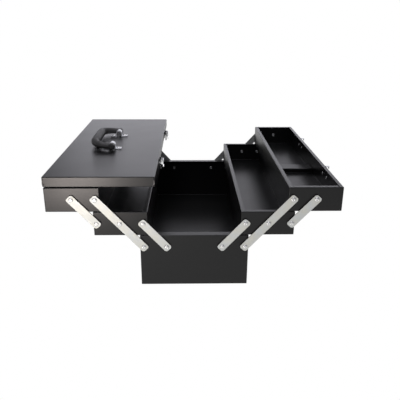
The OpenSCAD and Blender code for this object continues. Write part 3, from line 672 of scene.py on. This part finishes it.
class TOOLBOX_OT_grip(PieceOperator, bpy.types.Operator):
    """Model the moulded grip with its bosses and seam"""
    bl_idname = "toolbox.grip"
    bl_label = "Grip"

    def execute(self, context):
        grip = context.scene.toolbox_grip
        rubber = finish_of("moulded_rubber", moulded_rubber, grip)
        hinge = next(joint for joint in frame["joints"] if joint["name"] == "handle_fold")
        place = Matrix.Translation(hinge["pos_m"]) @ Matrix.Rotation(grip.lift, 4, "Y")
        dress(self.body(grip, place), "handle_grip", rubber)
        for piece in (self.seam(grip, place), self.caps(grip, place)):
            carry(piece, "handle_grip", rubber)
        return {"FINISHED"}

    def middle_line(self, grip):
        """Places, directions and radii along the handle, from the boss at the back to the front one."""
        boss = grip.boss_inside + grip.boss_thickness / 2
        straight = grip.reach - grip.bend_radius
        bar = boss - grip.bend_radius
        arc = grip.bend_radius * pi / 2
        half = straight + arc + bar
        line = []
        for step in range(HALF_RINGS + 1):
            gone = half * step / HALF_RINGS
            if gone < straight:
                at, way = Vector((-gone, boss, 0)), Vector((-1, 0, 0))
            elif gone < straight + arc:
                turned = (gone - straight) / grip.bend_radius
                aside, ahead = grip.bend_radius * sin(turned), grip.bend_radius * cos(turned)
                at, way = Vector((-straight - aside, bar + ahead, 0)), Vector((-cos(turned), -sin(turned), 0))
            else:
                at, way = Vector((-grip.reach, half - gone, 0)), Vector((0, -1, 0))
            swell = smooth_step(gone / half / grip.swell)
            line.append((at, way, grip.arm_radius + (grip.middle_radius - grip.arm_radius) * swell))
        mirrored = [(Vector((at.x, -at.y, 0)), Vector((-way.x, way.y, 0)), radius)
                    for at, way, radius in reversed(line[:-1])]
        return line + mirrored

    def body(self, grip, place):
        """Arms, corners, bar and bosses, blended into one skin."""
        start, end = grip.boss_inside, grip.boss_inside + grip.boss_thickness - grip.cap
        rim, inner = grip.boss_radius, grip.boss_radius - BOSS_ROUNDING
        bm = bmesh.new()
        tube(bm, self.middle_line(grip), grip.sides)
        self.spin_both_ends(bm, grip, ((0, start), (inner, start), (rim, start + BOSS_ROUNDING),
                                       (rim, end - BOSS_ROUNDING), (inner, end), (0, end)))
        bmesh.ops.transform(bm, matrix=place, verts=bm.verts)
        piece = new_piece("handle_grip_moulded", bm)
        add_modifier(piece, "REMESH", mode="VOXEL", voxel_size=grip.voxel, use_smooth_shade=True)
        add_modifier(piece, "SMOOTH", factor=grip.blend, iterations=grip.blend_steps)
        return piece

    def seam(self, grip, place):
        """Mould seam along the outer side of the arms and the bar."""
        stations = []
        for at, way, radius in self.middle_line(grip)[SEAM_FREE:-SEAM_FREE]:
            outward = Vector((way.y, -way.x, 0)) * (radius - SEAM_SINK * grip.seam)
            stations.append((at + outward, way, grip.seam))
        bm = bmesh.new()
        tube(bm, stations, SEAM_SIDES)
        bmesh.ops.transform(bm, matrix=place, verts=bm.verts)
        return new_piece("handle_grip_seam", bm)

    def caps(self, grip, place):
        """A shallow disc on the outer face of each boss."""
        rim, face = CAP_SHARE * grip.boss_radius, grip.boss_inside + grip.boss_thickness
        bm = bmesh.new()
        self.spin_both_ends(bm, grip, [(part * rim, face + level * grip.cap) for part, level in CAP_PROFILE])
        bmesh.ops.transform(bm, matrix=place, verts=bm.verts)
        piece = new_piece("handle_grip_caps", bm)
        piece.data.set_sharp_from_angle(angle=FLAT_CREASE)
        return piece

    def spin_both_ends(self, bm, grip, outline):
        """Spins an outline of radius and distance from the middle about the handle's axis, at both ends."""
        for side in (1, -1):
            lathe(bm, Vector(), [(radius, side * away) for radius, away in outline], grip.sides)
        closed(bm)


class TOOLBOX_OT_studio(PieceOperator, bpy.types.Operator):
    """Set up the floor, backdrop, lamps and camera"""
    bl_idname = "toolbox.studio"
    bl_label = "Studio"

    def execute(self, context):
        studio = context.scene.toolbox_studio
        context.scene.view_settings.view_transform = "Standard"
        self.add_floor(studio)
        self.add_backdrop(context.scene, studio)
        self.add_lamps(context.scene, studio)
        self.add_camera(context.scene, studio)
        return {"FINISHED"}

    def add_floor(self, studio):
        """White to the camera; to the box, a glow that falls off from left to right."""
        bm = bmesh.new()
        bmesh.ops.create_grid(bm, x_segments=1, y_segments=1, size=studio.floor_size / 2)
        floor = new_piece("studio_floor", bm)
        material = bpy.data.materials.new("studio_floor")
        material.use_nodes = True
        tree = material.node_tree
        glow = tree.nodes.new("ShaderNodeEmission")
        seen = tree.nodes.new("ShaderNodeLightPath")
        coords = tree.nodes.new("ShaderNodeTexCoord")
        parts = tree.nodes.new("ShaderNodeSeparateXYZ")
        across = tree.nodes.new("ShaderNodeMapRange")
        across.inputs["From Min"].default_value = -studio.floor_reach
        across.inputs["From Max"].default_value = studio.floor_reach
        across.inputs["To Min"].default_value = studio.floor_left
        across.inputs["To Max"].default_value = studio.floor_right
        level = tree.nodes.new("ShaderNodeMapRange")
        level.inputs["To Max"].default_value = 1
        tree.links.new(coords.outputs["Object"], parts.inputs["Vector"])
        tree.links.new(parts.outputs["X"], across.inputs["Value"])
        tree.links.new(across.outputs["Result"], level.inputs["To Min"])
        tree.links.new(seen.outputs["Is Camera Ray"], level.inputs["Value"])
        tree.links.new(level.outputs["Result"], glow.inputs["Strength"])
        tree.links.new(glow.outputs["Emission"], tree.nodes["Material Output"].inputs["Surface"])
        floor.data.materials.append(material)

    def add_backdrop(self, scene, studio):
        """White to the camera; to the box, a bright panel behind, a ceiling and a dim room."""
        world = bpy.data.worlds.new("studio_backdrop")
        scene.world = world
        world.use_nodes = True
        tree = world.node_tree
        coords = tree.nodes.new("ShaderNodeTexCoord")
        parts = tree.nodes.new("ShaderNodeSeparateXYZ")
        tree.links.new(coords.outputs["Generated"], parts.inputs["Vector"])

        def maths(operation, *values):
            """The result of an operation on numbers and on other nodes' values."""
            node = tree.nodes.new("ShaderNodeMath")
            node.operation = operation
            for socket, value in zip(node.inputs, values):
                if isinstance(value, bpy.types.NodeSocket):
                    tree.links.new(value, socket)
                else:
                    socket.default_value = value
            return node.outputs["Value"]

        def fade(value, start, end, top):
            """Runs softly from 0 at start to top at end."""
            node = tree.nodes.new("ShaderNodeMapRange")
            node.interpolation_type = "SMOOTHSTEP"
            node.inputs["From Min"].default_value = start
            node.inputs["From Max"].default_value = end
            node.inputs["To Max"].default_value = top
            tree.links.new(value, node.inputs["Value"])
            return node.outputs["Result"]

        rise = tree.nodes.new("ShaderNodeValToRGB")
        tree.links.new(parts.outputs["Z"], rise.inputs["Fac"])
        stops = rise.color_ramp.elements
        for degrees, level in PANEL_LEVELS.items():
            stops.new(sin(radians(degrees))).color = (level, level, level, 1)
        stops.remove(stops[0])
        stops[-1].color = (0, 0, 0, 1)
        bearing = maths("ARCTAN2", parts.outputs["X"], parts.outputs["Y"])
        aside = maths("ABSOLUTE", maths("SUBTRACT", bearing, studio.panel_turn))
        inside = fade(aside, studio.panel_reach + studio.panel_blur, studio.panel_reach - studio.panel_blur,
                      studio.panel_light)
        panel = maths("MULTIPLY", rise.outputs["Color"], inside)
        ceiling = fade(parts.outputs["Z"], sin(studio.ceiling_edge), sin(studio.ceiling_full),
                       studio.ceiling_light)
        level = maths("ADD", maths("ADD", panel, ceiling), studio.room_light)
        seen = tree.nodes.new("ShaderNodeLightPath").outputs["Is Camera Ray"]
        white = tree.nodes.new("ShaderNodeBackground")
        white.inputs["Color"].default_value = (1, 1, 1, 1)
        either = tree.nodes.new("ShaderNodeMixShader")
        room = tree.nodes["Background"]
        room.inputs["Color"].default_value = (*studio.cool, 1)
        tree.links.new(level, room.inputs["Strength"])
        tree.links.new(seen, either.inputs["Fac"])
        tree.links.new(room.outputs["Background"], either.inputs[1])
        tree.links.new(white.outputs["Background"], either.inputs[2])
        tree.links.new(either.outputs["Shader"], tree.nodes["World Output"].inputs["Surface"])

    def add_lamps(self, scene, studio):
        """A softbox on the floor at the front left that shines up, and a small lamp above the camera."""
        up = Matrix.Translation(studio.softbox_place) @ Matrix.Rotation(pi, 4, "X")
        self.add_lamp(scene, "softbox", studio.softbox_width, studio.softbox_depth, studio.softbox_power,
                      studio.warm, up)
        aim = Vector(studio.lamp_place).to_track_quat("Z", "Y").to_matrix().to_4x4()
        self.add_lamp(scene, "small_lamp", studio.lamp_width, studio.lamp_width, studio.lamp_power,
                      studio.cool, Matrix.Translation(studio.lamp_place) @ aim)

    def add_lamp(self, scene, name, width, depth, energy, tone, place):
        """A rectangular lamp that shines down its own Z axis."""
        light = bpy.data.lights.new(name, "AREA")
        light.shape = "RECTANGLE"
        light.size = width
        light.size_y = depth
        light.energy = energy
        light.color = tone
        lamp = bpy.data.objects.new(name, light)
        scene.collection.objects.link(lamp)
        lamp.matrix_world = place

    def add_camera(self, scene, studio):
        """The camera that saw the box."""
        data = bpy.data.cameras.new("camera")
        data.lens = studio.lens
        camera = bpy.data.objects.new("camera", data)
        scene.collection.objects.link(camera)
        turn = (Matrix.Rotation(-studio.yaw, 4, "Z") @ Matrix.Rotation(pi / 2 - studio.pitch, 4, "X")
                @ Matrix.Rotation(studio.roll, 4, "Z"))
        camera.matrix_world = Matrix.Translation(studio.camera_place) @ turn
        scene.camera = camera


class TOOLBOX_PT_panel(bpy.types.Panel):
    """Tool box settings and steps"""
    bl_label = "Tool Box"
    bl_idname = "TOOLBOX_PT_panel"
    bl_space_type = "VIEW_3D"
    bl_region_type = "UI"
    bl_category = "Tool Box"

    def draw(self, context):
        for operator in OPERATORS:
            self.layout.operator(operator.bl_idname)
        for group in SETTINGS:
            settings = getattr(context.scene, group)
            box = self.layout.box()
            for key in settings.bl_rna.properties.keys():
                if key not in ("rna_type", "name"):
                    box.prop(settings, key)


SETTINGS = {
    "toolbox_studio": StudioSettings,
    "toolbox_paint": PaintSettings,
    "toolbox_metal": MetalSettings,
    "toolbox_grip": GripSettings,
}
OPERATORS = (
    TOOLBOX_OT_studio,
    TOOLBOX_OT_sheet,
    TOOLBOX_OT_arms,
    TOOLBOX_OT_rivets,
    TOOLBOX_OT_fittings,
    TOOLBOX_OT_grip,
)


def register():
    """Registers the settings, the operators and the panel."""
    for settings in SETTINGS.values():
        bpy.utils.register_class(settings)
    for cls in (*OPERATORS, TOOLBOX_PT_panel):
        bpy.utils.register_class(cls)
    for name, settings in SETTINGS.items():
        setattr(bpy.types.Scene, name, PointerProperty(type=settings))


def unregister():
    """Removes what register added."""
    for name in SETTINGS:
        delattr(bpy.types.Scene, name)
    for cls in (TOOLBOX_PT_panel, *reversed(OPERATORS), *SETTINGS.values()):
        bpy.utils.unregister_class(cls)


def main():
    """Makes every piece."""
    register()
    for operator in OPERATORS:
        group, name = operator.bl_idname.split(".")
        getattr(getattr(bpy.ops, group), name)()


if __name__ == "__main__":
    main()
